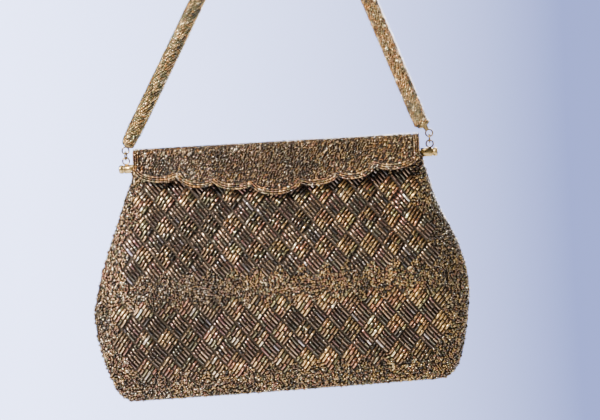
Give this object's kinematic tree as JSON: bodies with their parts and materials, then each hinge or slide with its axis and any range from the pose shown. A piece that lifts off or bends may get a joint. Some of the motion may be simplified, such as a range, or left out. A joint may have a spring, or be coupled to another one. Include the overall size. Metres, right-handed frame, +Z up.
{
  "type": "clutch purse",
  "caption": "Beaded frame evening bag with a scalloped flap, hinged frame mouth and a beaded rope handle.",
  "frame": {"origin": "hook point: where a hook carries the handle, under the top of its loop", "axes": "+X to the right seen from the flap side, -Y the way the flap faces, +Z up"},
  "size_m": [0.2318, 0.0418, 0.3336],
  "materials": {
    "body_beadwork": "gold-bronze glass bugle beads sewn in a basketweave",
    "flap_beadwork": "bronze glass bugle beads sewn at random",
    "handle_beadwork": "olive-gold glass beads in spiral rows",
    "gold_metal": "polished gold plate",
    "satin_lining": "satin",
    "base_board": "grey-brown card",
    "snap_metal": "nickel plate"
  },
  "bodies": {
    "handle": {"handle_rope": "handle_beadwork", "end_cap_left": "gold_metal", "end_cap_right": "gold_metal", "jump_ring_left": "gold_metal", "jump_ring_right": "gold_metal"},
    "bag": {"front_panel": "body_beadwork", "rear_panel": "body_beadwork", "gusset_left": "body_beadwork", "gusset_right": "body_beadwork", "base_cover": "body_beadwork", "base_board": "base_board", "lining_front": "satin_lining", "lining_rear": "satin_lining", "lining_left": "satin_lining", "lining_right": "satin_lining", "lining_base": "satin_lining", "inner_pocket": "satin_lining", "hinge_pin_left": "gold_metal", "hinge_pin_right": "gold_metal", "hinge_barrel_left": "gold_metal", "hinge_barrel_right": "gold_metal", "snap_stud": "snap_metal"},
    "rear_half": {"rear_frame": "gold_metal", "rear_cover_band": "body_beadwork"},
    "front_half": {"front_frame": "gold_metal", "front_cover_band": "body_beadwork"},
    "flap": {"flap_cover": "flap_beadwork", "flap_lining": "satin_lining", "snap_socket": "snap_metal"}
  },
  "joints": [
    {"name": "handle_swing", "type": "hinge", "parent": "handle", "child": "bag", "pos_m": [-0.016, 0, -0.1744], "axis": [1, 0, 0], "range_deg": [-80, 45]},
    {"name": "frame_open", "type": "hinge", "parent": "bag", "child": "rear_half", "pos_m": [-0.016, 0, -0.1816], "axis": [-1, 0, 0], "range_deg": [0, 46]},
    {"name": "front_open", "type": "hinge", "parent": "bag", "child": "front_half", "pos_m": [-0.016, 0, -0.1816], "axis": [1, 0, 0], "range_deg": [0, 46]},
    {"name": "flap_lift", "type": "hinge", "parent": "rear_half", "child": "flap", "pos_m": [-0.016, 0.00515, -0.1776], "axis": [-1, 0, 0], "range_deg": [0, 106]}
  ],
  "couplings": [
    {"joint": "front_open", "follows": "frame_open", "ratio": 1},
    {"joint": "flap_lift", "follows": "frame_open", "ratio": 2.3}
  ]
}
